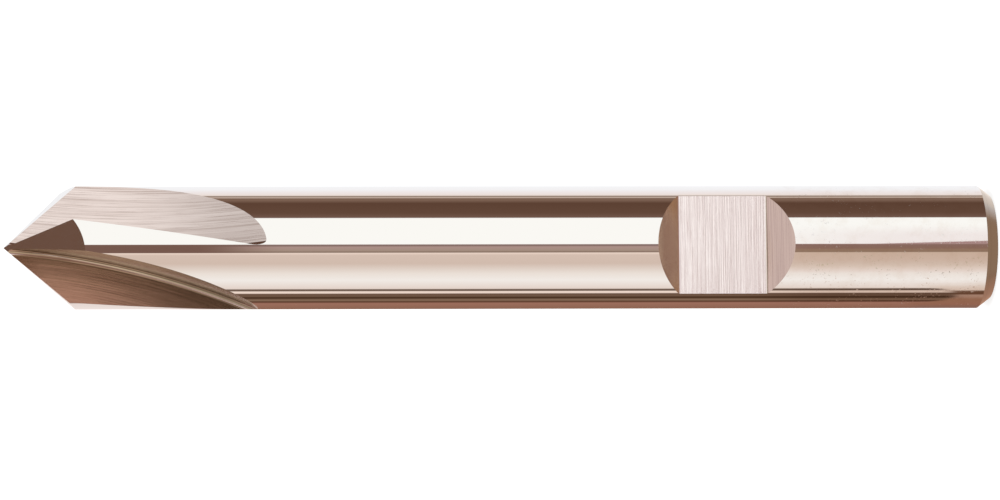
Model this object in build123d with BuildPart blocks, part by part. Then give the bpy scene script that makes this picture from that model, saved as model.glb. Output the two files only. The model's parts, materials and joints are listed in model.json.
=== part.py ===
from build123d import *
from math import asin, cos, degrees, radians, sin, sqrt, tan
import os

# Chamfer milling cutter: one piece of ground tool steel. A plain round shank, chamfered
# at its end, carries one clamping flat. The other end has four straight, inclined flutes
# and a pointed, four-sided tip whose edges cut a 90 degree chamfer.
#
# The tool stands on its shank end. The origin is the centre of the end face, +Z runs
# along the axis to the tip, and the clamping flat faces -Y. Angles round the axis are
# counted from -Y towards +X, the way the tool turns when it cuts. Sizes are in
# millimetres and degrees.

# Shank
shank_diameter = 10.0
overall_length = 81.4
end_chamfer_length = 1.0
end_chamfer_depth = 0.75

# Clamping flat: a shallow notch whose end walls slope outwards
flat_length = 7.35
flat_depth = 1.97
flat_centre_height = 22.65
flat_wall_slope = 44.5

# Tip: each flank is a plane through the tip, turned back behind its cutting edge
tooth_count = 4
first_edge_angle = 24.3
point_angle = 90.0
flank_turn = 32.2

# Flutes: each is cut by one straight pass of a large grinding wheel. The wheel's flat
# side makes the rake face and its bevelled rim makes the flute's back wall.
flute_length = 20.75
flute_tilt = 7.8
flute_opening = 59.5
flute_corner_radius = 0.33
root_offset_at_tip = 0.12
wheel_radius = 53.0

# Worked out from the sizes above
shank_radius = shank_diameter / 2
half_point = radians(point_angle / 2)
tilt = radians(flute_tilt)
tip = Vector(0, 0, overall_length)
cutter_room = shank_diameter
seam_share = 1 / 3
turning_plane = Plane(origin=(0, 0, 0), x_dir=(0, -1, 0), z_dir=(0, 0, 1))

# The rake face leans forward so that each edge runs from the tip to the shank's surface.
hook_angle = degrees(asin(tan(tilt) / tan(half_point)))

# The flute's root is an arc in the plane of the rake face. It is placed by two points:
# beside the axis at the tip, and on the shank's surface where the flute runs out.
run_out_along = flute_length / cos(tilt)
run_out_across = sqrt(shank_radius**2 - (flute_length * tan(tilt)) ** 2)
chord = Vector(run_out_along, run_out_across - root_offset_at_tip)
chord_rise = sqrt(wheel_radius**2 - (chord.length / 2) ** 2)
wheel_along = chord.X / 2 - chord_rise * chord.Y / chord.length
wheel_across = root_offset_at_tip + chord.Y / 2 + chord_rise * chord.X / chord.length


def around(angle):
    """Unit vector square to the axis, at this angle from -Y towards +X."""
    return Vector(sin(radians(angle)), -cos(radians(angle)), 0)


def wheel_plane(edge_angle):
    """Plane through the wheel's axis: X is the wheel's radius, Y runs into the flute."""
    across = around(edge_angle + hook_angle)
    faces = around(edge_angle + hook_angle + 90)
    along = Vector(0, 0, -cos(tilt)) - faces * sin(tilt)
    into_flute = faces * cos(tilt) - Vector(0, 0, sin(tilt))
    centre = tip + along * wheel_along + across * wheel_across
    return Plane(origin=centre, x_dir=-across, z_dir=into_flute.cross(across))


with BuildPart() as cutter:
    # Tip: a pyramid with one side for each flank, big enough to hold the whole tool
    pyramid_height = overall_length + cutter_room
    side_distance = pyramid_height * tan(half_point) * cos(radians(flank_turn))
    side_turn = first_edge_angle - flank_turn - 180 / tooth_count
    with BuildSketch(turning_plane.offset(-cutter_room)) as pyramid_base:
        RegularPolygon(side_distance, tooth_count, major_radius=False, rotation=side_turn)
    loft(sections=[pyramid_base.sketch.face(), Vertex(*tip)])

    # Round shank with its chamfered end, cut out of the pyramid. The section is turned
    # so that the seam of the round face runs up inside a flute, clear of lands and flat.
    section_angle = first_edge_angle + 360 / tooth_count * (1 + seam_share)
    outwards = around(section_angle)
    with BuildSketch(Plane(origin=(0, 0, 0), x_dir=outwards, z_dir=outwards.cross(Vector(0, 0, 1)))):
        with BuildLine():
            Polyline(
                (0, 0),
                (shank_radius - end_chamfer_depth, 0),
                (shank_radius, end_chamfer_length),
                (shank_radius, overall_length + cutter_room),
                (0, overall_length + cutter_room),
                close=True,
            )
        make_face()
    revolve(axis=Axis.Z, mode=Mode.INTERSECT)

    # Flutes: the wheel's section is turned about the wheel's own axis
    wheel_width = shank_radius + cutter_room
    for tooth in range(tooth_count):
        section = wheel_plane(first_edge_angle + 360 / tooth_count * tooth)
        with BuildSketch(section) as wheel_section:
            with BuildLine():
                Polyline(
                    (0, 0),
                    (wheel_radius, 0),
                    (wheel_radius - wheel_width / tan(radians(flute_opening)), wheel_width),
                    (0, wheel_width),
                    close=True,
                )
            make_face()
            fillet(wheel_section.vertices().sort_by(Axis.X)[-1], flute_corner_radius)
        revolve(axis=Axis(section.origin, section.y_dir), mode=Mode.SUBTRACT)

    # Clamping flat, cut straight across the shank
    flat_y = flat_depth - shank_radius
    outer_y = flat_y - cutter_room
    wall_run = cutter_room / tan(radians(flat_wall_slope))
    with BuildSketch(Plane.YZ):
        with BuildLine():
            Polyline(
                (flat_y, flat_centre_height - flat_length / 2),
                (flat_y, flat_centre_height + flat_length / 2),
                (outer_y, flat_centre_height + flat_length / 2 + wall_run),
                (outer_y, flat_centre_height - flat_length / 2 - wall_run),
                close=True,
            )
        make_face()
    extrude(amount=shank_diameter, both=True, mode=Mode.SUBTRACT)

cutter.part.label = "cutter"

os.makedirs("parts", exist_ok=True)
export_step(cutter.part, "parts/cutter.step")
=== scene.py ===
"""Looks of a chamfer milling cutter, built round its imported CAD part.

The cutter is one piece of ground tool steel. It stands on its shank end, with +Z along its
axis to the tip, and its clamping flat faces -Y. Angles round the axis are counted from -Y
towards +X. Sizes in the classes are in millimetres and degrees, and meshes are in metres.
"""

import json
import logging
from dataclasses import dataclass, field
from enum import Enum
from functools import reduce
from math import asin, atan2, copysign, cos, degrees, hypot, inf, pi, radians, sin, sqrt, tan, tau
from typing import Any, Iterable

import bmesh
import bpy
from bmesh.types import BMEdge, BMesh, BMFace, BMVert
from bpy.types import Material, Node, NodeSocket, NodeTree, Object
from mathutils import Matrix, Vector


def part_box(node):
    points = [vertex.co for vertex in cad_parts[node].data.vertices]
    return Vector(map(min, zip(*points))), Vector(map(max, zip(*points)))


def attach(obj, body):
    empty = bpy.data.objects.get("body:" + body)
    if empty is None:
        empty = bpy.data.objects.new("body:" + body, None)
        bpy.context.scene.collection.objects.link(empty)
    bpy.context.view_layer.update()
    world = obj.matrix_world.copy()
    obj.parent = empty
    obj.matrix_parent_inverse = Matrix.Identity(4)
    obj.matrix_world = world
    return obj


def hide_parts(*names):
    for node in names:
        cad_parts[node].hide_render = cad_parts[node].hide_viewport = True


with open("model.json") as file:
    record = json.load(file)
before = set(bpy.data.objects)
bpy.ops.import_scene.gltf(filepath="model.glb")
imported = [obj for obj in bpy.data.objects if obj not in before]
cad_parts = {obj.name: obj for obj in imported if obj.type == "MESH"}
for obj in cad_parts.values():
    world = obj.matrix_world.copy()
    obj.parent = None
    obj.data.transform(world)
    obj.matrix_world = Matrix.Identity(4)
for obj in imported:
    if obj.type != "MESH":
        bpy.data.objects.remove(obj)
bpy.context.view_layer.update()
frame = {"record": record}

MM = 0.001
WELD_DISTANCE = 0.0001 * MM
GRIND_MAP = "grinding direction"

# A Colour has linear values, and Shown is a colour as a screen shows it, from 0 to 255.
# A Fade holds where a smooth step begins and where it ends.
Colour = tuple[float, float, float]
Shown = tuple[int, int, int]
Fade = tuple[float, float]

log = logging.getLogger("cutter scene")


class Region(Enum):
    """Parts of the cutter's surface that are worked in their own way, as material slots."""

    SHANK = 0
    FLANK = 1
    FLUTE = 2
    FLAT = 3
    WALL = 4
    END = 5


def around(angle: float) -> Vector:
    """Gives the unit vector square to the axis, at this angle from -Y towards +X."""
    return Vector((sin(radians(angle)), -cos(radians(angle)), 0.0))


def linear(shown: Shown) -> Colour:
    """Turns a colour as a screen shows it into the linear values that Blender works in."""
    shares = [value / 255 for value in shown]
    return tuple(s / 12.92 if s <= 0.04045 else ((s + 0.055) / 1.055) ** 2.4 for s in shares)


def mount(name: str) -> dict[str, Any]:
    """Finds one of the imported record's mounts, with its place in metres."""
    return next(m for m in frame["record"]["mounts"] if m["name"] == name)


class Wiring:
    """Adds nodes to one node tree and joins them."""

    def __init__(self, tree: NodeTree) -> None:
        """Keeps the tree that the nodes go into."""
        self.tree = tree

    def add(self, kind: str, inputs: dict | None = None, **settings: Any) -> Node:
        """Adds one node.

        Args:
            kind: The node's type name, without its ShaderNode prefix, or a full type name.
            inputs: Values or output sockets, by the input's name or number.
            **settings: Properties of the node itself.

        Returns:
            The new node.
        """
        known = hasattr(bpy.types, "ShaderNode" + kind)
        node = self.tree.nodes.new("ShaderNode" + kind if known else kind)
        for name, value in settings.items():
            setattr(node, name, value)
        for key, value in (inputs or {}).items():
            if isinstance(value, NodeSocket):
                self.link(value, node.inputs[key])
            else:
                node.inputs[key].default_value = value
        return node

    def math(self, operation: str, *values: Any) -> NodeSocket:
        """Adds a Math node, whose inputs are these numbers or sockets in order."""
        return self.add("Math", dict(enumerate(values)), operation=operation).outputs[0]

    def product(self, *factors: Any) -> NodeSocket:
        """Adds the Math nodes that multiply all of these numbers and sockets."""
        return reduce(lambda whole, factor: self.math("MULTIPLY", whole, factor), factors)

    def link(self, source: NodeSocket, target: NodeSocket) -> None:
        """Joins an output to an input."""
        self.tree.links.new(source, target)

    def noise(self, place: NodeSocket, dimensions: str = "3D", **inputs: float) -> NodeSocket:
        """Adds a noise texture at this place, with these inputs."""
        return self.add("TexNoise", {"Vector": place, **inputs}, noise_dimensions=dimensions).outputs[0]

    def fade(self, value: Any, start: float, end: float, low: float = 0.0, high: float = 1.0) -> NodeSocket:
        """Adds a smooth step from low to high between start and end, which may lie below start."""
        inputs = {"Value": value, "From Min": start, "From Max": end, "To Min": low, "To Max": high}
        return self.add("MapRange", inputs, interpolation_type="SMOOTHSTEP").outputs["Result"]

    def blend(self, share: Any, first: Any, second: Any, blend_type: str = "MIX") -> NodeSocket:
        """Adds a colour mix.

        Args:
            share: How much of the second colour there is, as a number or socket.
            first: Colour or socket at a share of 0.
            second: Colour or socket at a share of 1.
            blend_type: Blender's name of the kind of mix.

        Returns:
            The result's socket.
        """
        node = self.add("Mix", {"Factor": share}, data_type="RGBA", blend_type=blend_type)
        for number, value in ((6, first), (7, second)):
            if isinstance(value, NodeSocket):
                self.link(value, node.inputs[number])
            else:
                node.inputs[number].default_value = (*value, 1.0)
        return node.outputs[2]


def new_group(name: str, inputs: dict[str, str], outputs: dict[str, str]) -> tuple:
    """Starts a shader node group.

    Args:
        name: The group's name.
        inputs: Kind of socket, by the input's name.
        outputs: Kind of socket, by the output's name.

    Returns:
        The group's wiring, the sockets that it takes from and the sockets that it gives to.
    """
    group = bpy.data.node_groups.new(name, "ShaderNodeTree")
    for in_out, sockets in (("INPUT", inputs), ("OUTPUT", outputs)):
        for label, kind in sockets.items():
            group.interface.new_socket(label, in_out=in_out, socket_type="NodeSocket" + kind)
    wiring = Wiring(group)
    return wiring, wiring.add("NodeGroupInput").outputs, wiring.add("NodeGroupOutput").inputs


@dataclass(frozen=True)
class GrindingLines:
    """A node group of the fine lines that a grinding wheel leaves, along the first coordinate."""

    fine_edges: Fade = (0.52, 0.34)
    fine_share: float = 0.65
    band_edges: Fade = (0.62, 0.38)
    band_scale: tuple[float, float] = (0.6, 0.25)

    def build(self) -> None:
        """Builds the group, which puts out the lines' height and their light and dark shade."""
        inputs = {"Vector": "Vector", "Lines per Millimetre": "Float", "Change along Line": "Float"}
        w, start, end = new_group("grinding lines", inputs, {"Height": "Float", "Shade": "Float"})
        place = w.add("SeparateXYZ", {0: start["Vector"]}).outputs
        along = w.product(place["X"], start["Change along Line"])
        across = w.product(place["Y"], start["Lines per Millimetre"])
        flat = w.add("CombineXYZ", {"X": along, "Y": across}).outputs[0]
        fine = w.noise(flat, "2D", Scale=1.0, Detail=3.0, Roughness=0.7)
        slow, wide = self.band_scale
        flat = w.add("CombineXYZ", {"X": w.product(along, slow), "Y": w.product(across, wide)}).outputs[0]
        broad = w.noise(flat, "2D", Scale=1.0, Detail=4.0, Roughness=0.6)
        lines = w.product(w.fade(fine, *self.fine_edges), self.fine_share)
        bands = w.product(w.fade(broad, *self.band_edges), 1 - self.fine_share)
        w.link(fine, end["Height"])
        w.link(w.math("SUBTRACT", 1.0, w.math("ADD", lines, bands)), end["Shade"])


@dataclass(frozen=True)
class HandlingMarks:
    """A node group of the small pits and soft stains on the shank's clamped end."""

    top_edge: Fade = (-0.001, 0.002)
    pit_edges: Fade = (0.58, 0.76)
    patch_edges: Fade = (0.40, 0.62)
    stain_edges: Fade = (0.42, 0.7)

    def build(self) -> None:
        """Builds the group, whose masks of pits and stains are 0 above the marked height."""
        inputs = {"Vector": "Vector", "Top of Marks": "Float"}
        w, start, end = new_group("handling marks", inputs, {"Pits": "Float", "Stains": "Float"})
        place = start["Vector"]
        height = w.add("SeparateXYZ", {0: place}).outputs["Z"]
        marked = w.fade(w.math("SUBTRACT", start["Top of Marks"], height), *self.top_edge)
        pits = w.fade(w.noise(place, Scale=5200.0, Detail=2.0), *self.pit_edges)
        patches = w.fade(w.noise(place, Scale=620.0, Detail=2.0), *self.patch_edges)
        stains = w.fade(w.noise(place, Scale=900.0, Detail=4.0, Roughness=0.65), *self.stain_edges)
        w.link(w.product(marked, pits, patches), end["Pits"])
        w.link(w.product(marked, stains), end["Stains"])


@dataclass(frozen=True)
class Finish:
    """Common ground of the steel finishes: a bare metal with a colour and gloss, where colours that differ
    from the shank's steel are painted light and painted shade.
    """

    name: str
    steel: Colour = (0.83, 0.80, 0.78)
    roughness: float = 0.05

    def start(self) -> tuple[Material, Wiring, Node]:
        """Makes the material with its metal shader.

        Returns:
            The material, its wiring and its Principled BSDF.
        """
        material = bpy.data.materials.new(self.name)
        material.use_nodes = True
        wiring = Wiring(material.node_tree)
        shader = material.node_tree.nodes["Principled BSDF"]
        shader.inputs["Metallic"].default_value = 1.0
        shader.inputs["Base Color"].default_value = (*self.steel, 1.0)
        shader.inputs["Roughness"].default_value = self.roughness
        return material, wiring, shader

    def material(self) -> Material:
        """Makes the finished material. Each finish has its own."""
        raise NotImplementedError


@dataclass(frozen=True)
class PolishedFinish(Finish):
    """The shank's mirror-like round, with handling marks near its clamped end."""

    marks_top: float = 18.5
    stained_steel: Colour = (0.72, 0.64, 0.58)
    stain_share: float = 0.3
    stain_roughness: float = 0.008
    pitted_steel: Colour = (0.60, 0.58, 0.60)
    pit_share: float = 0.4
    pit_roughness: float = 0.30

    def material(self) -> Material:
        """Makes the polished shank's material.

        Returns:
            The material.
        """
        material, w, shader = self.start()
        marks = w.add("Group", node_tree=bpy.data.node_groups["handling marks"])
        w.link(w.add("TexCoord").outputs["Object"], marks.inputs["Vector"])
        marks.inputs["Top of Marks"].default_value = self.marks_top * MM
        stains, pits = marks.outputs["Stains"], marks.outputs["Pits"]
        stained = w.blend(w.product(stains, self.stain_share), self.steel, self.stained_steel)
        pitted = w.blend(w.product(pits, self.pit_share), stained, self.pitted_steel)
        w.link(pitted, shader.inputs["Base Color"])
        spread = w.math("ADD", w.product(pits, self.pit_roughness), w.product(stains, self.stain_roughness))
        w.link(w.math("ADD", spread, self.roughness), shader.inputs["Roughness"])
        return material


@dataclass(frozen=True)
class GroundFinish(Finish):
    """A face with the fine lines of a grinding wheel or milling cutter."""

    dark_steel: Colour = (0.62, 0.58, 0.55)
    lines: float = 5.0
    change: float = 0.05
    line_strength: float = 0.3
    line_depth: float = 0.004
    roughness_range: tuple[float, float] = (1.25, 0.8)

    def material(self) -> Material:
        """Makes a ground face's material from the lines along its UV map.

        Returns:
            The material.
        """
        material, w, shader = self.start()
        lines = w.add("Group", node_tree=bpy.data.node_groups["grinding lines"])
        w.link(w.add("UVMap", uv_map=GRIND_MAP).outputs[0], lines.inputs["Vector"])
        lines.inputs["Lines per Millimetre"].default_value = self.lines
        lines.inputs["Change along Line"].default_value = self.change
        shade = w.product(w.math("SUBTRACT", 1.0, lines.outputs["Shade"]), self.line_strength)
        w.link(w.blend(shade, self.steel, self.dark_steel), shader.inputs["Base Color"])
        roughest, smoothest = (self.roughness * share for share in self.roughness_range)
        w.link(w.fade(lines.outputs["Shade"], 0.0, 1.0, roughest, smoothest), shader.inputs["Roughness"])
        relief = {"Strength": 1.0, "Distance": self.line_depth * MM, "Height": lines.outputs["Height"]}
        w.link(w.add("Bump", relief).outputs[0], shader.inputs["Normal"])
        return material


FINISHES: dict[Region, Finish] = {
    Region.SHANK: PolishedFinish("polished_shank", roughness=0.012),
    Region.FLANK: GroundFinish("ground_flank", roughness=0.10, lines=6.0, line_strength=0.35,
        line_depth=0.0015),
    # The flute's steel and dark line colours are darker and warmer than the shank's steel: painted shade in
    # the flutes.
    Region.FLUTE: GroundFinish("ground_flute", steel=(0.74, 0.63, 0.60), dark_steel=(0.42, 0.32, 0.29),
        roughness=0.08, lines=10.0, change=0.08, line_strength=0.75),
    # The flat floor's steel is lighter and pinker than the shank's steel: painted light.
    Region.FLAT: GroundFinish("milled_flat", steel=(0.91, 0.84, 0.83), dark_steel=(0.66, 0.56, 0.54),
        roughness=0.07, lines=12.0, change=0.08, line_strength=0.26, line_depth=0.001),
    # The notch walls' steel and dark line colours are darker and browner than the floor's: painted shade.
    Region.WALL: GroundFinish("milled_wall", steel=(0.65, 0.53, 0.445), dark_steel=(0.44, 0.34, 0.30),
        roughness=0.12, lines=9.0, change=0.06, line_strength=0.5),
    # The turned end's steel and dark line colours are much darker than the shank's steel: painted shade.
    Region.END: GroundFinish("turned_end", steel=(0.50, 0.46, 0.43), dark_steel=(0.30, 0.27, 0.25),
        roughness=0.14, lines=9.0, change=0.0, line_strength=0.5),
}


def working_object(name: str, bm: BMesh, materials: list[Material]) -> Object:
    """Turns a bmesh into an object of the scene and frees the bmesh.

    Args:
        name: The object's name.
        bm: The shape, in metres.
        materials: The material slots, in the order of Region.

    Returns:
        The new object, at the origin.
    """
    bmesh.ops.recalc_face_normals(bm, faces=bm.faces)
    mesh = bpy.data.meshes.new(name)
    bm.to_mesh(mesh)
    bm.free()
    for material in materials:
        mesh.materials.append(material)
    shape = bpy.data.objects.new(name, mesh)
    bpy.context.scene.collection.objects.link(shape)
    return shape


def outline(bm: BMesh, points: list[Vector], closed: bool) -> tuple[list, list]:
    """Draws a line through a few points.

    Args:
        bm: The bmesh that takes the line.
        points: The corners, in order.
        closed: Whether the last corner joins the first.

    Returns:
        The new vertices and edges.
    """
    corners = [bm.verts.new(point) for point in points]
    pairs = list(zip(corners, corners[1:]))
    if closed:
        pairs.append((corners[-1], corners[0]))
    return corners, [bm.edges.new(pair) for pair in pairs]


@dataclass
class Shank:
    """The plain round shank and the blank that the tip and flutes are ground from."""

    end_chamfer_length: float = 1.0
    end_chamfer_depth: float = 0.75
    round_steps: int = 256
    radius: float = field(init=False)
    length: float = field(init=False)

    def __post_init__(self) -> None:
        """Takes the shank's radius and the whole length from the frame."""
        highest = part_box("cutter")[1]
        self.radius = mount("shank")["dims"]["r_mm"]
        self.length = highest.z / MM

    def blank(self) -> BMesh:
        """Spins the blank, which is longer than the cutter by one radius.

        Returns:
            The closed blank as a bmesh, with its end marked as a region of its own.
        """
        bm = bmesh.new()
        top = self.length + self.radius
        sides = [(0, 0), (self.radius - self.end_chamfer_depth, 0), (self.radius, self.end_chamfer_length),
                 (self.radius, top), (0, top)]
        points = [Vector((r, 0, z)) * MM for r, z in sides]
        corners, edges = outline(bm, points, closed=False)
        bmesh.ops.spin(bm, geom=corners + edges, cent=(0, 0, 0), axis=(0, 0, 1), dvec=(0, 0, 0),
                       angle=tau, steps=self.round_steps, use_merge=True, use_duplicate=False)
        bmesh.ops.remove_doubles(bm, verts=bm.verts, dist=WELD_DISTANCE)
        for face in bm.faces:
            is_end = face.calc_center_median().z < self.end_chamfer_length * MM
            face.material_index = Region.END.value if is_end else Region.SHANK.value
        return bm

    def direction(self, region: Region, place: Vector) -> Vector | None:
        """Gives the true outward direction on the round, and None outside it."""
        return Vector((place.x, place.y, 0)).normalized() if region is Region.SHANK else None

    def grinding_place(self, place: Vector) -> tuple[float, float]:
        """Measures a point round the axis and along the outline, in millimetres."""
        reach = Vector((place.x, place.y)).length
        return atan2(place.x, place.y) * self.radius, (place.z - reach) / MM


@dataclass
class ChamferTip:
    """The pointed tip: one flank for each tooth, turned back behind its cutting edge."""

    tooth_count: int = 4
    first_edge_angle: float = 24.3
    point_angle: float = 90.0
    flank_turn: float = 32.2
    line_turn: float = 50.0

    def normal(self, tooth: int) -> Vector:
        """Gives the outward direction of one tooth's flank."""
        rise = tan(radians(self.point_angle / 2)) * cos(radians(self.flank_turn))
        return (around(self.edge_angle(tooth) - self.flank_turn) + Vector((0, 0, rise))).normalized()

    def edge_angle(self, tooth: int) -> float:
        """Gives the angle round the axis of one tooth's cutting edge."""
        return self.first_edge_angle + 360 / self.tooth_count * tooth

    def grind(self, bm: BMesh, tip: Vector) -> None:
        """Cuts the blank down to the flanks.

        Args:
            bm: The blank, changed in place.
            tip: The tip's point, in metres.
        """
        for tooth in range(self.tooth_count):
            everything = [*bm.verts, *bm.edges, *bm.faces]
            cut = bmesh.ops.bisect_plane(bm, geom=everything, plane_co=tip, plane_no=self.normal(tooth),
                                         clear_outer=True, dist=WELD_DISTANCE)
            rim = [g for g in cut["geom_cut"] if isinstance(g, BMEdge)]
            for face in bmesh.ops.edgeloop_fill(bm, edges=rim)["faces"]:
                face.material_index = Region.FLANK.value

    def grinding_place(self, place: Vector, outward: Vector, tip: Vector) -> tuple[float, float]:
        """Measures a point along and across the lines of the flank that faces this way.

        Args:
            place: The point, in metres.
            outward: The face's outward direction.
            tip: The tip's point, in metres.

        Returns:
            The distances along and across the lines, in millimetres.
        """
        tooth = max(range(self.tooth_count), key=lambda t: self.normal(t).dot(outward))
        normal = self.normal(tooth)
        reach = tan(radians(self.point_angle / 2))
        edge = around(self.edge_angle(tooth)) * reach - Vector((0, 0, 1))
        along = Matrix.Rotation(radians(self.line_turn), 3, normal) @ edge.normalized()
        offset = (place - tip) / MM
        return offset.dot(along), offset.dot(normal.cross(along))


@dataclass
class Flutes:
    """Four straight, inclined flutes, each cut by one pass of a large grinding wheel."""

    length: float = 20.75
    tilt: float = 7.8
    opening: float = 59.5
    corner_radius: float = 0.33
    root_offset_at_tip: float = 0.12
    wheel_radius: float = 53.0
    wheel_depth: float = 12.0
    wheel_width: float = 10.0
    sweep_before: float = 12.0
    sweep_after: float = 34.0
    sweep_steps: int = 230
    corner_segments: int = 10
    flat_limit: float = 0.0015
    rake_limit: float = 0.033
    hollow: float = 4.4
    hollow_width: float = 5.0

    def place_wheel(self, tip_shape: ChamferTip, shank: Shank) -> None:
        """Works out where the wheel stands beside the cutter.

        Args:
            tip_shape: The tip that the flutes run up to.
            shank: The shank that they run out on.
        """
        tilt, half_point = radians(self.tilt), radians(tip_shape.point_angle / 2)
        self.tip_shape = tip_shape
        self.tip = Vector((0, 0, shank.length))
        self.hook_angle = degrees(asin(tan(tilt) / tan(half_point)))
        across = sqrt(shank.radius**2 - (self.length * tan(tilt)) ** 2)
        chord = Vector((self.length / cos(tilt), across - self.root_offset_at_tip))
        rise = sqrt(self.wheel_radius**2 - (chord.length / 2) ** 2)
        self.wheel_along = chord.x / 2 - rise * chord.y / chord.length
        self.wheel_across = self.root_offset_at_tip + chord.y / 2 + rise * chord.x / chord.length
        self.places = [self.wheel_matrix(tooth) for tooth in range(tip_shape.tooth_count)]
        self.inverses = [place.inverted() for place in self.places]

    def wheel_matrix(self, tooth: int) -> Matrix:
        """Gives the wheel's own axes: X its radius, Y into the flute, Z along the rim.

        Args:
            tooth: The tooth whose rake face the wheel grinds.

        Returns:
            The matrix from the wheel's place to the cutter's, in millimetres.
        """
        tilt = radians(self.tilt)
        edge_angle = self.tip_shape.edge_angle(tooth)
        across = around(edge_angle + self.hook_angle)
        faces = around(edge_angle + self.hook_angle + 90)
        along = Vector((0, 0, -cos(tilt))) - faces * sin(tilt)
        into_flute = faces * cos(tilt) - Vector((0, 0, sin(tilt)))
        centre = self.tip + along * self.wheel_along + across * self.wheel_across
        turned = Matrix((-across, into_flute, (-across).cross(into_flute))).transposed().to_4x4()
        return Matrix.Translation(centre) @ turned

    def wheel(self, tooth: int, materials: list[Material]) -> Object:
        """Spins the stretch of the wheel's rim that meets the cutter.

        Args:
            tooth: The tooth whose flute it cuts.
            materials: The material slots, in the order of Region.

        Returns:
            The wheel as a closed object.
        """
        bm = bmesh.new()
        inner = self.wheel_radius - self.wheel_depth
        far_rim = self.wheel_radius - self.wheel_width / tan(radians(self.opening))
        section = [(inner, 0), (self.wheel_radius, 0), (far_rim, self.wheel_width), (inner, self.wheel_width)]
        corners, _ = outline(bm, [Vector((x, y, 0)) for x, y in section], closed=True)
        corner_reach = self.corner_radius / tan(radians(self.opening / 2))
        bmesh.ops.bevel(bm, geom=[corners[1]], offset=corner_reach, offset_type="OFFSET",
                        segments=self.corner_segments, profile=0.5, affect="VERTICES", material=-1)
        turning_axis = Vector((0, -1, 0))
        back = Matrix.Rotation(-radians(self.sweep_before), 3, turning_axis)
        bmesh.ops.rotate(bm, verts=bm.verts, cent=(0, 0, 0), matrix=back)
        first_edges = list(bm.edges)
        spun = bmesh.ops.spin(bm, geom=[*bm.verts, *bm.edges], cent=(0, 0, 0), axis=turning_axis,
                              dvec=(0, 0, 0), angle=radians(self.sweep_before + self.sweep_after),
                              steps=self.sweep_steps, use_merge=False, use_duplicate=False)
        last_edges = [g for g in spun["geom_last"] if isinstance(g, BMEdge)]
        for rim in (first_edges, last_edges):
            bmesh.ops.edgeloop_fill(bm, edges=rim)
        for face in bm.faces:
            face.material_index = Region.FLUTE.value
        bmesh.ops.transform(bm, matrix=Matrix.Scale(MM, 4) @ self.places[tooth], verts=bm.verts)
        return working_object(f"wheel_{tooth}", bm, materials)

    def grinding_place(self, place: Vector, face: BMFace) -> tuple[float, float]:
        """Measures a point along the wheel's rim and across its section.

        Args:
            place: The point, in metres.
            face: The face that it belongs to.

        Returns:
            The distances along and across the grinding lines, in millimetres.
        """
        face_centre = face.calc_center_median()
        best = self.cut_by(face_centre, face.normal)
        inverse = self.inverses[best]
        local = inverse @ (place / MM)
        reach = hypot(local.x, local.z)
        turn = atan2(local.z, local.x)
        slant = radians(self.opening)
        across = local.y * sin(slant) + (self.wheel_radius - reach) * cos(slant)
        if abs((inverse @ (face_centre / MM)).y) < self.rake_limit:
            across = reach - self.wheel_radius
        if self.miss(best, face_centre) > self.flat_limit:
            across = 0.0
        return turn * self.wheel_radius, across

    def direction(self, tooth: int, place: Vector) -> Vector:
        """Gives the true outward direction on a slightly hollow rake face, round root or back wall.

        Args:
            tooth: The tooth whose wheel cut the point.
            place: The point, in metres.

        Returns:
            The unit direction.
        """
        local = self.inverses[tooth] @ (place / MM)
        slant = radians(self.opening)
        reach = hypot(local.x, local.z)
        from_root = self.wheel_radius - self.corner_radius / tan(slant / 2) - reach
        hollow = radians(self.hollow) * max(0.0, 1 - max(from_root, 0.0) / self.hollow_width)
        turn = atan2(local.y - self.corner_radius, -from_root)
        turn = min(max(turn, hollow - pi / 2), pi / 2 - slant)
        radial = cos(turn)
        wheel_out = Vector((local.x / reach * radial, sin(turn), local.z / reach * radial))
        return -(self.places[tooth].to_3x3() @ wheel_out)

    def cut_by(self, place: Vector, face_out: Vector) -> int:
        """Finds the tooth whose wheel cut the face that has this middle and outward direction."""
        teeth = range(self.tip_shape.tooth_count)
        return max(teeth, key=lambda t: self.direction(t, place).dot(face_out) - self.miss(t, place))

    def miss(self, tooth: int, place: Vector) -> float:
        """Gives how far a point is from one wheel's rake side or bevelled rim.

        Args:
            tooth: The tooth whose flute the wheel cuts.
            place: The point, in metres.

        Returns:
            The distance in millimetres, without end where the wheel doesn't reach.
        """
        local = self.inverses[tooth] @ (place / MM)
        slant = radians(self.opening)
        reach = hypot(local.x, local.z)
        rim = (reach - self.wheel_radius) * sin(slant) + local.y * cos(slant)
        if reach > self.wheel_radius + self.corner_radius or local.y < -self.corner_radius:
            return inf
        return min(abs(local.y), abs(rim))


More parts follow.
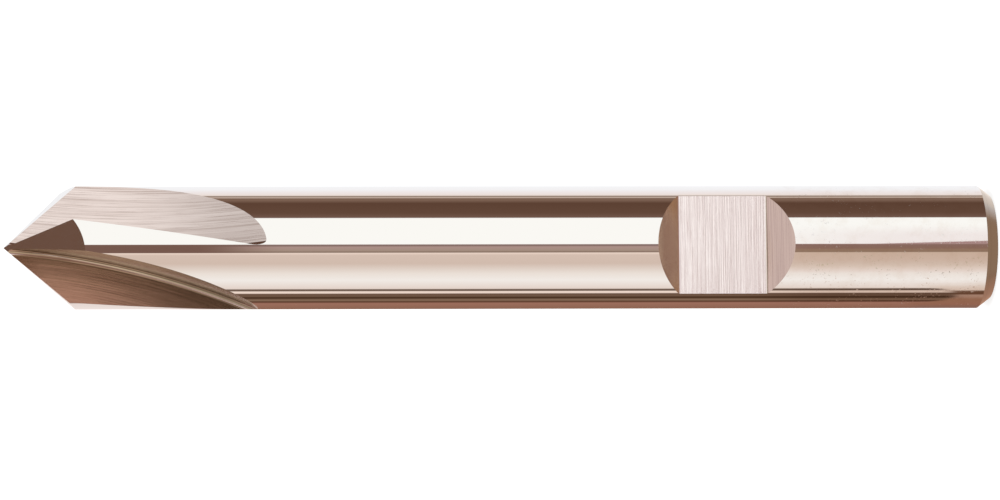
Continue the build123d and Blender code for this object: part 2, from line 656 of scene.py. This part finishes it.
@dataclass
class ClampingFlat:
    """The shallow notch in the shank that a holder's side screw presses on."""

    length: float = 7.35
    wall_slope: float = 44.5
    corner_radius: float = 0.22
    corner_segments: int = 6
    clearance: float = 10.0
    floor_limit: float = 0.99

    def mill(self, materials: list[Material]) -> Object:
        """Makes the block that the notch leaves free, wider than the shank.

        Args:
            materials: The material slots, in the order of Region.

        Returns:
            The block as a closed object.
        """
        _, floor_y, middle = mount("clamping_flat")["pos_m"]
        floor_y, middle = floor_y / MM, middle / MM
        run = self.clearance / tan(radians(self.wall_slope))
        low, high = middle - self.length / 2, middle + self.length / 2
        outer_y = floor_y - self.clearance
        section = [(floor_y, low), (floor_y, high), (outer_y, high + run), (outer_y, low - run)]
        bm = bmesh.new()
        corners, _ = outline(bm, [Vector((-self.clearance, y, z)) * MM for y, z in section], closed=True)
        corner_reach = self.corner_radius * tan(radians(self.wall_slope / 2)) * MM
        bmesh.ops.bevel(bm, geom=corners[:2], offset=corner_reach, offset_type="OFFSET",
                        segments=self.corner_segments, profile=0.5, affect="VERTICES", material=-1)
        side = bmesh.ops.contextual_create(bm, geom=bm.edges)["faces"]
        grown = bmesh.ops.extrude_face_region(bm, geom=side, use_keep_orig=True)["geom"]
        moved = [g for g in grown if isinstance(g, BMVert)]
        bmesh.ops.translate(bm, verts=moved, vec=Vector((2 * self.clearance * MM, 0, 0)))
        bm.normal_update()
        for face in bm.faces:
            is_floor = abs(face.normal.y) > self.floor_limit
            face.material_index = Region.FLAT.value if is_floor else Region.WALL.value
        return working_object("flat_mill", bm, materials)

    def direction(self, region: Region, place: Vector) -> Vector | None:
        """Gives the true outward direction on the notch's floor, corners and end walls.

        Args:
            region: The region that the point is in.
            place: The point, in metres.

        Returns:
            The unit direction, or None where the point is outside the notch.
        """
        if region not in (Region.FLAT, Region.WALL):
            return None
        away = place.z / MM - mount("clamping_flat")["pos_m"][2] / MM
        slope = radians(self.wall_slope)
        past_floor = abs(away) - self.length / 2 + self.corner_radius * tan(slope / 2)
        turn = asin(min(max(past_floor / self.corner_radius, 0.0), sin(slope)))
        return Vector((0, -cos(turn), -copysign(sin(turn), away)))

    def grinding_place(self, place: Vector) -> tuple[float, float]:
        """Measures a point along the milled lines, which cross the axis, and across them."""
        return place.x / MM, place.z / MM


@dataclass
class Cutter:
    """The whole cutter: one closed mesh, worked from a round blank as the real one is."""

    shank: Shank = field(default_factory=Shank)
    tip: ChamferTip = field(default_factory=ChamferTip)
    flutes: Flutes = field(default_factory=Flutes)
    flat: ClampingFlat = field(default_factory=ClampingFlat)
    sharp_angle: float = 18.0
    true_within: float = 25.0

    def build(self, finishes: dict[Region, Finish]) -> Object:
        """Builds the cutter and dresses each of its regions.

        Args:
            finishes: The finish of each region.

        Returns:
            The finished piece, which replaces the CAD node.
        """
        materials = [finishes[region].material() for region in Region]
        self.flutes.place_wheel(self.tip, self.shank)
        blank = self.shank.blank()
        self.tip.grind(blank, self.tip_point())
        body = working_object("cutter_body", blank, materials)
        tools = [self.flutes.wheel(tooth, materials) for tooth in range(self.tip.tooth_count)]
        tools.append(self.flat.mill(materials))
        for tool in tools:
            self.cut(body, tool)
        self.refine(body)
        self.true_normals(body)
        return body

    def tip_point(self) -> Vector:
        """Gives the tip's point, in metres."""
        return Vector((0, 0, self.shank.length * MM))

    def cut(self, body: Object, tool: Object) -> None:
        """Takes a tool's shape away from the body and removes the tool.

        Args:
            body: The object that is cut, changed in place.
            tool: The closed object that is taken away.
        """
        cutting = body.modifiers.new("cut", "BOOLEAN")
        cutting.operation = "DIFFERENCE"
        cutting.solver = "EXACT"
        cutting.material_mode = "INDEX"
        cutting.object = tool
        graph = bpy.context.evaluated_depsgraph_get()
        result = bpy.data.meshes.new_from_object(body.evaluated_get(graph))
        body.modifiers.remove(cutting)
        body.data = result
        bpy.data.objects.remove(tool)

    def refine(self, body: Object) -> None:
        """Welds the mesh, marks its sharp edges and lays out its grinding directions.

        Args:
            body: The cut body, changed in place.
        """
        bm = bmesh.new()
        bm.from_mesh(body.data)
        bmesh.ops.remove_doubles(bm, verts=bm.verts, dist=WELD_DISTANCE)
        bmesh.ops.dissolve_degenerate(bm, edges=bm.edges, dist=WELD_DISTANCE)
        limit = radians(self.sharp_angle)
        for edge in bm.edges:
            materials = {face.material_index for face in edge.link_faces}
            in_notch = materials <= {Region.FLAT.value, Region.WALL.value}
            edge.smooth = (len(materials) == 1 or in_notch) and edge.calc_face_angle(0.0) < limit
        layer = bm.loops.layers.uv.new(GRIND_MAP)
        places = {
            Region.SHANK: lambda p, face: self.shank.grinding_place(p),
            Region.END: lambda p, face: self.shank.grinding_place(p),
            Region.FLANK: lambda p, face: self.tip.grinding_place(p, face.normal, self.tip_point()),
            Region.FLUTE: lambda p, face: self.flutes.grinding_place(p, face),
            Region.FLAT: lambda p, face: self.flat.grinding_place(p),
            Region.WALL: lambda p, face: self.flat.grinding_place(p),
        }
        for face in bm.faces:
            face.smooth = True
            measure = places[Region(face.material_index)]
            for loop in face.loops:
                loop[layer].uv = measure(loop.vert.co, face)
        bm.to_mesh(body.data)
        bm.free()

    def true_normals(self, body: Object) -> None:
        """Gives round, notch and flutes their true normals, so that reflections run straight.

        Args:
            body: The refined body, changed in place.
        """
        mesh = body.data
        normals = [Vector((0, 0, 0))] * len(mesh.loops)
        for polygon in mesh.polygons:
            region = Region(polygon.material_index)
            tooth = self.flutes.cut_by(polygon.center, polygon.normal) if region is Region.FLUTE else None
            for number in polygon.loop_indices:
                place = mesh.vertices[mesh.loops[number].vertex_index].co
                true = self.shank.direction(region, place) or self.flat.direction(region, place)
                if tooth is not None:
                    true = self.flutes.direction(tooth, place)
                if true and true.dot(polygon.normal) > cos(radians(self.true_within)):
                    normals[number] = true
        mesh.normals_split_custom_set(normals)


@dataclass(frozen=True)
class Panel:
    """One panel or gap of the studio, as the steel mirrors it.

    Each stop is an angle round the cutter, counted from the camera's side, and the colour that
    the steel shows there. The upper panels count towards the top of the picture, and the others
    towards its foot.
    """

    name: str
    stops: tuple[tuple[float, Shown], ...]


@dataclass(frozen=True)
class Patch:
    """A place in the studio that is lit in its own way, with soft edges.

    Each fade runs from where the patch begins to where it is full, in degrees. The light is a
    colour that the steel shows, or else the share that is left of the light behind the patch.
    """

    name: str
    azimuth: tuple[Fade, ...]
    elevation: tuple[Fade, ...]
    shown: Shown | None = None
    shares: Colour = (1.0, 1.0, 1.0)


UPPER_PANELS = (
    Panel("main softbox", ((6.0, (250, 248, 243)), (57.0, (250, 248, 243)))),
    Panel("open studio above", ((58.0, (113, 86, 74)), (68, (98, 71, 57)), (92, (92, 65, 51)),
        (100.5, (124, 97, 82)), (106.3, (122, 96, 80)))),
    Panel("thin light line", ((107.3, (197, 175, 161)), (109.5, (197, 175, 161)))),
    Panel("reflector's dark edge", ((110, (148, 128, 114)), (113.6, (150, 130, 116)))),
    Panel("wide reflector behind", ((115.4, (231, 216, 208)), (120, (236, 225, 220)), (126, (237, 228, 226)),
        (140, (240, 238, 239)), (160, (238, 236, 236)), (180, (227, 225, 226)))),
)
LOWER_PANELS = (
    Panel("camera side", ((-5.2, (126, 103, 97)), (-2.8, (140, 115, 108)), (-1.4, (172, 143, 135)),
        (6.0, (162, 140, 126)), (9.0, (124, 101, 87)))),
    Panel("warm bounce card", ((10.1, (236, 214, 200)), (14, (212, 190, 176)), (30, (209, 187, 173)),
        (50, (234, 223, 214)), (64, (241, 234, 228)), (84.0, (227, 210, 200)))),
    Panel("card's dark edge", ((85.5, (108, 88, 76)), (89.8, (114, 94, 82)))),
    Panel("strip light", ((90.8, (240, 219, 205)), (95.6, (232, 210, 196)))),
    Panel("open studio below", ((97.4, (104, 78, 63)), (104.0, (112, 87, 70)), (109.3, (60, 34, 16)),
        (116.9, (137, 110, 90)), (123.4, (84, 52, 36)))),
    Panel("warm table edge", ((129.8, (155, 109, 92)), (160, (136, 96, 78)), (180, (128, 90, 74)))),
)
BESIDE_PANELS = (
    Panel("warm side wall", ((10, (203, 188, 156)), (30, (212, 197, 165)), (42, (237, 229, 198)))),
    Panel("gap in the wall", ((47.5, (140, 122, 93)), (50.5, (106, 89, 63)), (54.6, (112, 95, 69)),
        (57, (166, 149, 115)))),
    Panel("far side wall", ((59.6, (222, 189, 166)), (63, (236, 201, 178)), (110, (201, 176, 155)))),
)
NEAR_END_PANELS = (
    Panel("camera side near the end", ((-6, (150, 120, 112)), (-4, (135, 104, 94)), (2, (136, 104, 90)),
        (5, (145, 115, 95)), (9.2, (140, 113, 94)))),
    Panel("bounce card near the end", ((10.1, (199, 172, 153)), (24, (203, 177, 160)), (30, (206, 183, 167)),
        (36, (213, 192, 177)), (42, (223, 204, 192)), (50, (233, 219, 211)))),
)
END_PANELS = (
    Panel("bounce card's foot", ((76, (230, 216, 206)), (82, (217, 197, 183)), (89.6, (213, 188, 172)))),
    Panel("foot's shadow", ((92.2, (112, 82, 64)), (97, (98, 65, 46)), (101, (102, 68, 49)))),
    Panel("table", ((103.5, (162, 126, 107)), (107, (163, 126, 107)), (117, (146, 103, 80)),
        (140, (145, 99, 80)), (150, (133, 96, 81)), (180, (131, 96, 82)))),
)
PATCHES_BEHIND_END = (
    Patch("shade near the end", ((-82.0, -86.0), (-128.0, -124.0)), ((-10.9, -11.2),),
        shares=(0.76, 0.70, 0.66)),
    Patch("low reflector", ((130.0, 140.0),), ((-12.3, -14.0),), (250, 236, 225)),
    Patch("softbox's end", ((46.0, 20.0), (5.6, 6.0)), ((-10.9, -11.45),), (240, 231, 228)),
)
PATCHES_BEFORE_END = (
    Patch("low table", ((-112.0, -124.0),), ((-12.3, -14.0),), (188, 142, 118)),
    Patch("pale table", ((-124.0, -130.0),), ((-9.62, -9.32),), (230, 216, 210)),
    Patch("dark camera side", ((-10.2, -9.2), (6.0, 5.4)), ((-9.72, -9.46), (-8.0, -8.6)), (117, 88, 77)),
    Patch("shade far below", ((-86.0, -100.0),), ((-4.5, -2.5),), shares=(0.60, 0.51, 0.44)),
)


@dataclass
class Studio:
    """The soft studio round the cutter, its floor and its one lamp."""

    w: Wiring = field(init=False)
    direction: NodeSocket = field(init=False)
    azimuth: NodeSocket = field(init=False)
    elevation: NodeSocket = field(init=False)
    panels_from: float = -5.7
    camera_azimuth: float = -3.6
    steel: Colour = (0.83, 0.80, 0.78)
    belt_dimming: Fade = (12.0, 34.0)
    belt_dimmed: float = 0.74
    ceiling: Shown = (104, 76, 62)
    ceiling_start: Fade = (50.0, 58.0)
    skylight: Shown = (226, 214, 217)
    skylight_place: tuple[float, float] = (30.0, 77.0)
    skylight_edge: Fade = (11.0, 8.0)
    floor: Shown = (172, 141, 115)
    floor_start: Fade = (-38.0, -72.0)
    beside_width: tuple[Fade, ...] = ((-9.0, -17.0), (-110.0, -100.0))
    beside_start: Fade = (-9.15, -8.85)
    beside_dimming: Fade = (-7.0, 14.0)
    beside_dimmed: float = 0.5
    beside_foot: Fade = (-11.75, -12.1)
    beside_foot_shade: Colour = (0.55, 0.45, 0.38)
    beside_low: Fade = (-15.2, -13.4)
    beside_low_share: float = 0.45
    bounce_limit: float = 1.5
    near_end_width: tuple[Fade, ...] = ((-52.0, -46.0), (6.2, 5.8))
    near_end_start: Fade = (-10.8, -11.2)
    end_start: Fade = (-11.54, -11.57)
    end_width: Fade = (-70.0, -76.0)
    nose_middle: float = -104.0
    nose_half_width: float = 17.5
    nose_bow: float = 0.043
    nose_reach: float = 0.12
    softbox_foot: Shown = (165, 131, 127)
    softbox_foot_top: float = -11.33
    softbox_foot_slope: float = 17.0
    softbox_foot_span: tuple[float, float] = (6.0, 12.0)
    softbox_foot_start: Fade = (5.0, 6.2)
    softbox_foot_edge: Fade = (0.3, -0.3)
    floor_width: float = 8.0
    floor_grey: float = 0.35
    floor_glow: float = 0.75
    lamp_place: tuple[float, float, float] = (0.15, -0.1, 0.7)
    lamp_width: float = 0.9
    lamp_power: float = 4.0

    def mirrored(self, shown: Shown) -> Colour:
        """Gives the light that the steel shows as this screen colour."""
        return tuple(value / share for value, share in zip(linear(shown), self.steel))

    def build_world(self) -> None:
        """Makes the world: white to the camera, a studio to the steel, plain light to the rest."""
        world = bpy.data.worlds.new("studio")
        bpy.context.scene.world = world
        world.use_nodes = True
        world.cycles.sampling_method = "NONE"
        self.w = w = Wiring(world.node_tree)
        self.read_direction()
        is_lower = w.math("LESS_THAN", self.azimuth, -self.panels_from)
        belt = w.blend(is_lower, self.ramp(UPPER_PANELS, 1.0), self.ramp(LOWER_PANELS))
        dimming = w.fade(self.elevation, *self.belt_dimming, 1.0, self.belt_dimmed)
        belt = self.near_ends(w.blend(1.0, belt, dimming, "MULTIPLY"))
        light_path = w.add("LightPath").outputs
        studio = self.side_wall(belt, light_path["Glossy Depth"])
        studio = w.blend(w.fade(self.elevation, *self.ceiling_start), studio, self.mirrored(self.ceiling))
        studio = w.blend(w.fade(self.elevation, *self.floor_start), studio, self.mirrored(self.floor))
        studio = w.blend(self.skylight_mask(), studio, self.mirrored(self.skylight))
        light = w.blend(light_path["Is Glossy Ray"], (1.0, 1.0, 1.0), studio)
        w.link(light, world.node_tree.nodes["Background"].inputs["Color"])

    def read_direction(self) -> None:
        """Reads the mirrored direction, and its angles from the camera and the horizon."""
        w = self.w
        self.direction = w.add("TexCoord").outputs["Generated"]
        parts = w.add("SeparateXYZ", {0: self.direction}).outputs
        turned = w.math("ARCTAN2", parts["X"], w.product(parts["Y"], -1.0))
        relative = w.math("SUBTRACT", turned, radians(self.camera_azimuth))
        self.azimuth = w.math("DEGREES", w.math("WRAP", relative, pi, -pi))
        self.elevation = w.math("DEGREES", w.math("ARCSINE", parts["Z"]))

    def mask(self, azimuth: Iterable[Fade], elevation: Iterable[Fade] = ()) -> NodeSocket:
        """Multiplies fades over the azimuth and over the elevation, in degrees."""
        across = [self.w.fade(self.azimuth, *fade) for fade in azimuth]
        return self.w.product(*across, *(self.w.fade(self.elevation, *fade) for fade in elevation))

    def side_wall(self, belt: NodeSocket, bounces: NodeSocket) -> NodeSocket:
        """Puts the wall beside the camera before the belt.

        The wall has a gap where the shank mirrors the belt, which light mirrored twice doesn't see.

        Args:
            belt: The belt's colour.
            bounces: How many times the steel has mirrored the light.

        Returns:
            The colour of wall and belt.
        """
        w = self.w
        dimming = w.fade(self.elevation, *self.beside_dimming, 1.0, self.beside_dimmed)
        wall = w.blend(1.0, self.ramp(BESIDE_PANELS), dimming, "MULTIPLY")
        foot = w.fade(self.elevation, *self.beside_foot)
        shade = w.product(foot, w.fade(self.elevation, *self.beside_low, self.beside_low_share, 1.0))
        wall = w.blend(shade, wall, self.beside_foot_shade, "MULTIPLY")
        outside_gap = w.math("ADD", foot, w.fade(self.elevation, *self.beside_start))
        shown = w.math("MAXIMUM", w.math("GREATER_THAN", bounces, self.bounce_limit), outside_gap)
        return w.blend(w.product(self.mask(self.beside_width), shown), belt, wall)

    def near_ends(self, belt: NodeSocket) -> NodeSocket:
        """Changes the belt where the shank's end and the tip's lands mirror it.

        Args:
            belt: The belt's colour.

        Returns:
            The changed colour.
        """
        w = self.w
        strip = self.mask(self.near_end_width, [self.near_end_start])
        belt = w.blend(strip, belt, self.ramp(NEAR_END_PANELS))
        belt = self.lay(belt, PATCHES_BEHIND_END)
        away = w.math("DIVIDE", w.math("SUBTRACT", self.azimuth, self.nose_middle), self.nose_half_width)
        bowed = w.math("MINIMUM", w.product(away, away, self.nose_bow), self.nose_reach)
        below = w.fade(w.math("SUBTRACT", self.elevation, bowed), *self.end_start)
        at_end = w.product(below, w.fade(self.azimuth, *self.end_width))
        belt = w.blend(at_end, belt, self.ramp(END_PANELS))
        near, far = self.softbox_foot_span
        drop = w.math("MAXIMUM", w.math("SUBTRACT", self.softbox_foot_top, self.elevation), 0.0)
        slant = w.math("MINIMUM", w.math("MULTIPLY_ADD", drop, self.softbox_foot_slope, near), far)
        foot = w.fade(w.math("SUBTRACT", self.azimuth, slant), *self.softbox_foot_edge)
        foot = w.product(foot, w.fade(self.azimuth, *self.softbox_foot_start))
        belt = w.blend(foot, belt, self.mirrored(self.softbox_foot))
        return self.lay(belt, PATCHES_BEFORE_END)

    def lay(self, behind: NodeSocket, patches: Iterable[Patch]) -> NodeSocket:
        """Lays patches over the studio, one after the other.

        Args:
            behind: The colour behind the patches.
            patches: The patches, in order.

        Returns:
            The colour with the patches.
        """
        for patch in patches:
            mask = self.mask(patch.azimuth, patch.elevation)
            if patch.shown:
                behind = self.w.blend(mask, behind, self.mirrored(patch.shown))
            else:
                behind = self.w.blend(mask, behind, patch.shares, "MULTIPLY")
        return behind

    def skylight_mask(self) -> NodeSocket:
        """Marks the round skylight near the top of the studio.

        Returns:
            1 inside the skylight and 0 outside.
        """
        azimuth, elevation = self.skylight_place
        rise = radians(elevation)
        centre = around(self.camera_azimuth + azimuth) * cos(rise) + Vector((0, 0, sin(rise)))
        near = self.w.add("VectorMath", {0: self.direction, 1: centre}, operation="DOT_PRODUCT")
        away = self.w.math("DEGREES", self.w.math("ARCCOSINE", near.outputs["Value"]))
        return self.w.fade(away, *self.skylight_edge)

    def ramp(self, panels: tuple[Panel, ...], side: float = -1.0) -> NodeSocket:
        """Lays one side's panels on a colour ramp.

        Args:
            panels: The side's panels, in order.
            side: 1 where angles count towards the picture's top, and -1 towards its foot.

        Returns:
            The ramp's colour.
        """
        span = 180 - self.panels_from
        away = self.w.math("SUBTRACT", self.w.product(self.azimuth, side), self.panels_from)
        ramp = self.w.add("ValToRGB", {"Fac": self.w.math("DIVIDE", away, span)})
        stops = [stop for panel in panels for stop in panel.stops]
        elements = ramp.color_ramp.elements
        while len(elements) < len(stops):
            elements.new(0.5)
        for element, (place, _) in zip(elements, stops):
            element.position = (place - self.panels_from) / span
        for element, (_, colour) in zip(elements, stops):
            element.color = (*self.mirrored(colour), 1.0)
        return ramp.outputs["Color"]

    def build_floor(self) -> Object:
        """Makes the plain white floor that the cutter stands on.

        Returns:
            The floor, which is no part of the object.
        """
        bm = bmesh.new()
        bmesh.ops.create_grid(bm, x_segments=1, y_segments=1, size=self.floor_width / 2)
        material = bpy.data.materials.new("studio_floor")
        material.use_nodes = True
        shader = material.node_tree.nodes["Principled BSDF"]
        shader.inputs["Base Color"].default_value = (*[self.floor_grey] * 3, 1.0)
        shader.inputs["Roughness"].default_value = 1.0
        shader.inputs["Specular IOR Level"].default_value = 0.0
        shader.inputs["Emission Color"].default_value = (1.0, 1.0, 1.0, 1.0)
        w = Wiring(material.node_tree)
        seen = w.add("LightPath").outputs["Is Camera Ray"]
        w.link(w.product(seen, self.floor_glow), shader.inputs["Emission Strength"])
        floor = working_object("floor", bm, [material])
        floor.visible_glossy = False
        return floor

    def build_lamp(self) -> None:
        """Hangs one soft lamp over the cutter for its shadow on the floor."""
        lamp = bpy.data.lights.new("overhead_lamp", "AREA")
        lamp.size = self.lamp_width
        lamp.energy = self.lamp_power
        hung = bpy.data.objects.new("overhead_lamp", lamp)
        hung.location = self.lamp_place
        hung.visible_glossy = False
        hung.visible_camera = False
        bpy.context.scene.collection.objects.link(hung)


@dataclass
class PhotoCamera:
    """The camera at the photograph's place, with the cutter's tip to the left."""

    azimuth: float = -3.6
    elevation: float = 10.3
    lens: float = 750.0
    sensor: float = 36.0
    picture_width: float = 81.37
    target_height: float = 40.50
    target_offset: float = -0.2086
    roll: float = 0.08

    def build(self) -> Object:
        """Makes the camera, rolled so that the cutter's axis lies across the picture.

        Returns:
            The scene's camera.
        """
        rise = radians(self.elevation)
        back = around(self.azimuth) * cos(rise) + Vector((0, 0, sin(rise)))
        level = around(self.azimuth + 90)
        up = Matrix.Rotation(radians(-self.roll), 3, back) @ level
        right = up.cross(back)
        distance = self.picture_width * self.lens / self.sensor
        target = level * self.target_offset + Vector((0, 0, self.target_height))
        place = (target + back * distance) * MM
        data = bpy.data.cameras.new("photo_camera")
        data.lens = self.lens
        data.sensor_width = self.sensor
        camera = bpy.data.objects.new("photo_camera", data)
        camera.matrix_world = Matrix.Translation(place) @ Matrix((right, up, back)).transposed().to_4x4()
        bpy.context.scene.collection.objects.link(camera)
        bpy.context.scene.camera = camera
        return camera


def main() -> None:
    """Builds the cutter, its studio and its camera, and reports each piece."""
    logging.basicConfig(level=logging.INFO, format="%(message)s")
    GrindingLines().build()
    HandlingMarks().build()
    body = Cutter().build(FINISHES)
    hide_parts("cutter")
    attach(body, "root")
    log.info("%s: %d faces, %d materials", body.name, len(body.data.polygons), len(body.data.materials))
    studio = Studio()
    studio.build_world()
    log.info("%s: laid under the cutter", studio.build_floor().name)
    studio.build_lamp()
    log.info("%s: placed", PhotoCamera().build().name)
    bpy.context.scene.view_settings.view_transform = "Standard"


if __name__ == "__main__":
    main()
